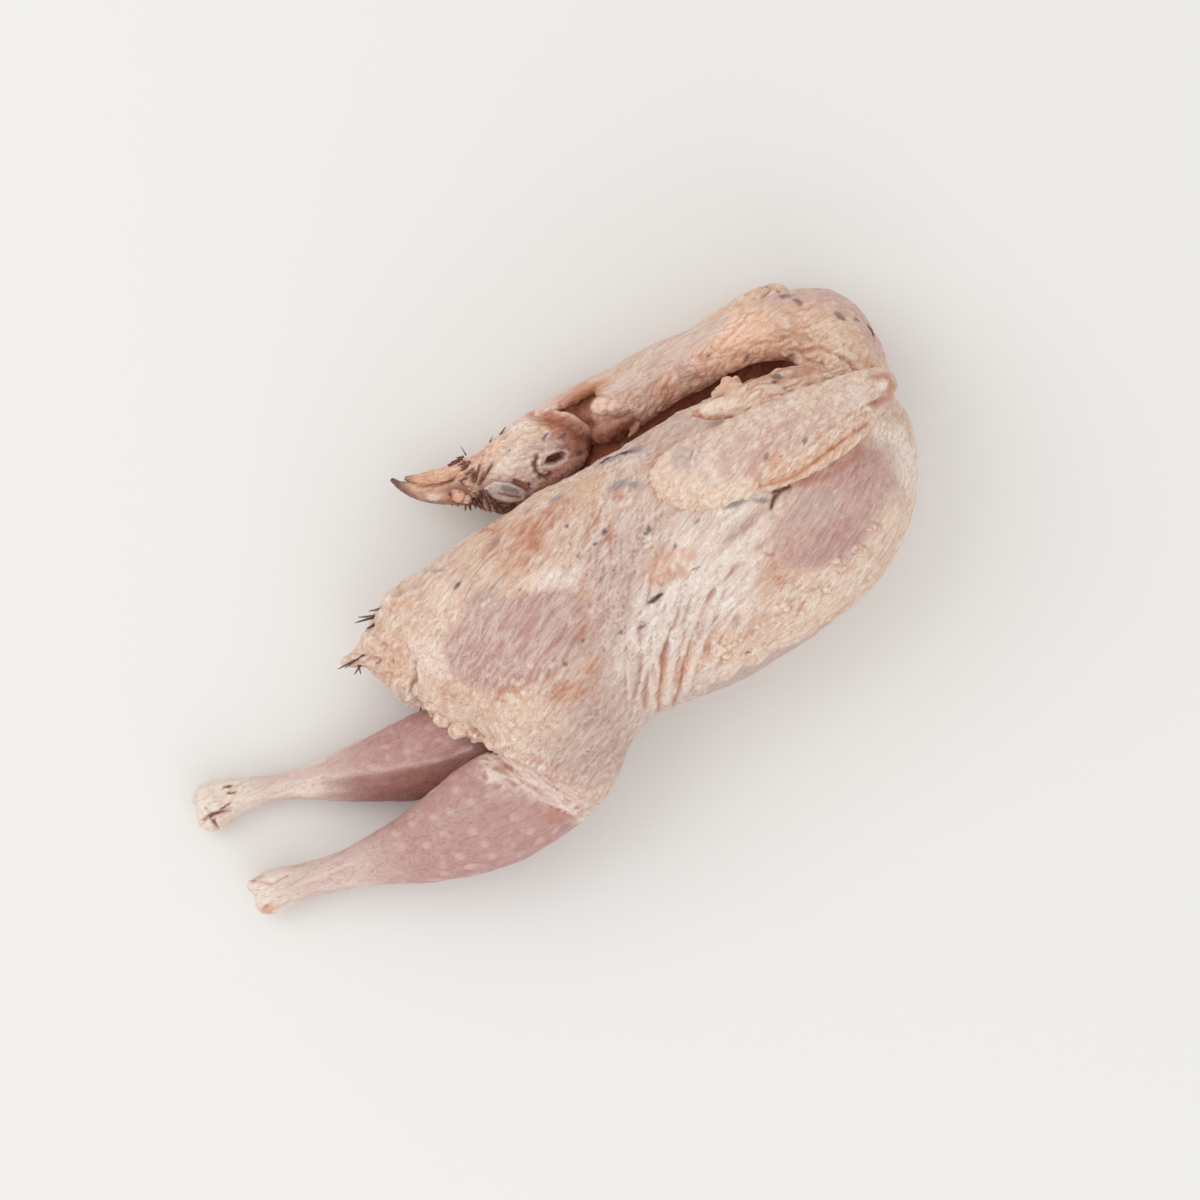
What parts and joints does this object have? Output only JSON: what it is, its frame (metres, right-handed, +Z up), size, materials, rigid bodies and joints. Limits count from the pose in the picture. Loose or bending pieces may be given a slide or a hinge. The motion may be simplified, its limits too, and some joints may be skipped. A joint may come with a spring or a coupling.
{
  "type": "frozen partridge",
  "caption": "Whole plucked game bird frozen on its side, with neck folded back along the spine, wings shut and legs trailing.",
  "frame": {"origin": "centre of the bounding box in plan, on the plane the bird lies on", "axes": "+X from tail to breast along the body, +Y from keel to spine, +Z up, from the side it lies on to the side that shows"},
  "size_m": [0.1929, 0.1107, 0.0614],
  "materials": {
    "skin": "pale waxy frozen skin, satin"
  },
  "bodies": {
    "root": {"partridge": "skin"}
  },
  "joints": []
}
